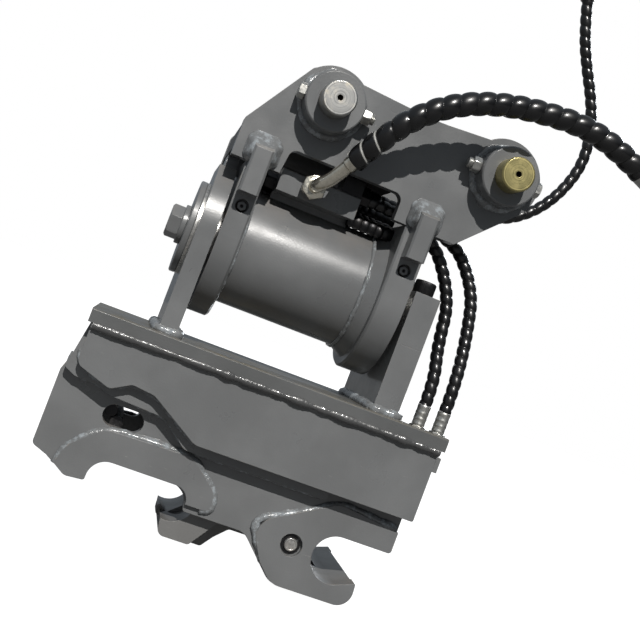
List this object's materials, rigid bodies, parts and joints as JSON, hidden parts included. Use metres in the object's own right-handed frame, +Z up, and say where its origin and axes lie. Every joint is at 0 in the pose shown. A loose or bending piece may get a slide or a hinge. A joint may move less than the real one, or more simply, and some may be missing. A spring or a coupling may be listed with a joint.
{
  "type": "tilting quick coupler",
  "caption": "Grey excavator quick coupler that tilts sideways on a rotary actuator, with twin ears and pins above and a claw frame with sliding jaw, latch and hoses below.",
  "frame": {"origin": "middle of the arm pin, half way across the width", "axes": "+X from the link pin towards the arm pin, along the tilt axis; +Y along the pins, away from the viewer of the picture; +Z up towards the machine's arm"},
  "size_m": [0.7423, 0.4345, 1.1723],
  "materials": {
    "grey_paint": "satin",
    "bare_steel": "satin",
    "worn_seat": "satin",
    "zinc": "satin",
    "yellow_zinc": "satin",
    "black_oxide": "satin",
    "hose_guard": "gloss",
    "bronze": "satin",
    "seal_rubber": "matte"
  },
  "bodies": {
    "bracket": {"ear_plate_front": "grey_paint", "ear_plate_rear": "grey_paint", "pin_bosses": "grey_paint", "link_pin": "bare_steel", "arm_pin": "yellow_zinc", "retaining_bolts": "zinc", "retaining_nuts": "zinc", "bracket_lugs": "grey_paint", "bridge_plate": "grey_paint", "ear_end_plate": "grey_paint", "actuator_tube": "grey_paint", "flange_left": "grey_paint", "flange_right": "grey_paint", "port_screws": "black_oxide", "bearing_rings": "bronze", "shaft_seals": "seal_rubber", "ring_gear": "bare_steel", "manifold_block": "grey_paint", "elbow_front": "yellow_zinc", "elbow_rear": "yellow_zinc", "manifold_fittings": "zinc", "hose_front": "hose_guard", "hose_front_end": "zinc", "hose_rear": "hose_guard", "hose_rear_end": "zinc", "lock_hose_inner": "hose_guard", "lock_hose_outer": "hose_guard"},
    "piston": {"piston_sleeve": "bare_steel", "piston_seal": "seal_rubber"},
    "tilt_frame": {"output_shaft": "bare_steel", "spacer_disc": "bare_steel", "end_disc": "grey_paint", "tie_washer": "zinc", "tie_bolt": "zinc", "left_arm": "grey_paint", "right_post": "grey_paint", "bearing_cap": "grey_paint", "cap_screws": "black_oxide", "top_plate": "grey_paint", "side_plates": "grey_paint", "spacer_plates": "grey_paint", "claw_plate_front": "grey_paint", "claw_plate_rear": "grey_paint", "claw_doublers": "grey_paint", "cross_plates": "grey_paint", "throat_block": "worn_seat", "guide_rails": "bare_steel", "cylinder_barrel": "black_oxide", "cylinder_pin": "bare_steel", "latch_pin": "bare_steel", "snap_rings": "black_oxide", "latch_spring": "bare_steel", "hose_ferrules": "zinc", "port_adapters": "zinc", "port_block": "grey_paint"},
    "jaw": {"jaw": "worn_seat", "jaw_rod": "bare_steel", "rod_pin": "bare_steel"},
    "latch": {"latch": "worn_seat"}
  },
  "joints": [
    {"name": "tilt", "type": "hinge", "parent": "bracket", "child": "tilt_frame", "pos_m": [-0.216, 0, -0.23], "axis": [1, 0, 0], "range_deg": [-65, 65], "deforming": ["lock_hose_inner", "lock_hose_outer"]},
    {"name": "piston_slide", "type": "slide", "parent": "bracket", "child": "piston", "axis": [1, 0, 0], "range_m": [-0.036, 0.036]},
    {"name": "jaw_slide", "type": "slide", "parent": "tilt_frame", "child": "jaw", "axis": [-1, 0, 0], "range_m": [0, 0.095]},
    {"name": "latch_hinge", "type": "hinge", "parent": "tilt_frame", "child": "latch", "pos_m": [-0.101, 0, -0.617], "axis": [0, 1, 0], "range_deg": [0, 14]}
  ],
  "couplings": [
    {"joint": "piston_slide", "follows": "tilt", "m_per_rad": 0.03}
  ]
}
